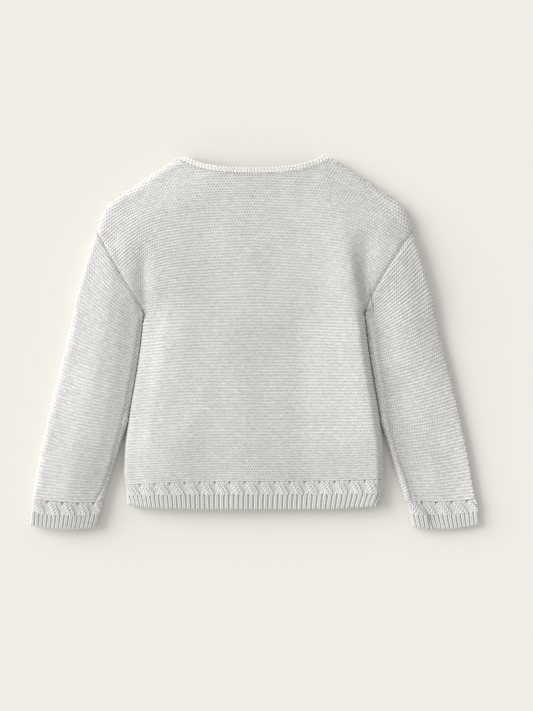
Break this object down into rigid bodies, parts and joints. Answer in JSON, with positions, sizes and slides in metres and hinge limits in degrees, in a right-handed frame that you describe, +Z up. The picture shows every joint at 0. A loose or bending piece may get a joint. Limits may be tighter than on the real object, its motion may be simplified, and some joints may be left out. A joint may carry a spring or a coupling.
{
  "type": "knitted baby sweater",
  "caption": "Knitted baby pullover with drop shoulders and long sleeves, laid flat with its back up; hollow and open at neck, hem and cuffs.",
  "frame": {"origin": "on the surface that the garment lies on, under the middle of its bounding box", "axes": "+Z up from the surface through the front and then the back of the garment, +Y towards the neck, +X towards the sleeve on the right as seen from above"},
  "size_m": [0.435, 0.3604, 0.018],
  "materials": {
    "garter_knit": "soft light grey melange yarn in garter stitch, matt and slightly fuzzy",
    "rib_knit": "the same yarn in one-by-one rib, matt",
    "cable_knit": "the same yarn in a band of small cables, matt"
  },
  "bodies": {
    "root": {"back_panel": "garter_knit", "front_panel": "garter_knit", "left_sleeve": "garter_knit", "right_sleeve": "garter_knit", "neckband": "rib_knit", "hem_braid": "cable_knit", "hem_rib": "rib_knit", "left_cuff_braid": "cable_knit", "left_cuff_rib": "rib_knit", "right_cuff_braid": "cable_knit", "right_cuff_rib": "rib_knit"}
  },
  "joints": []
}
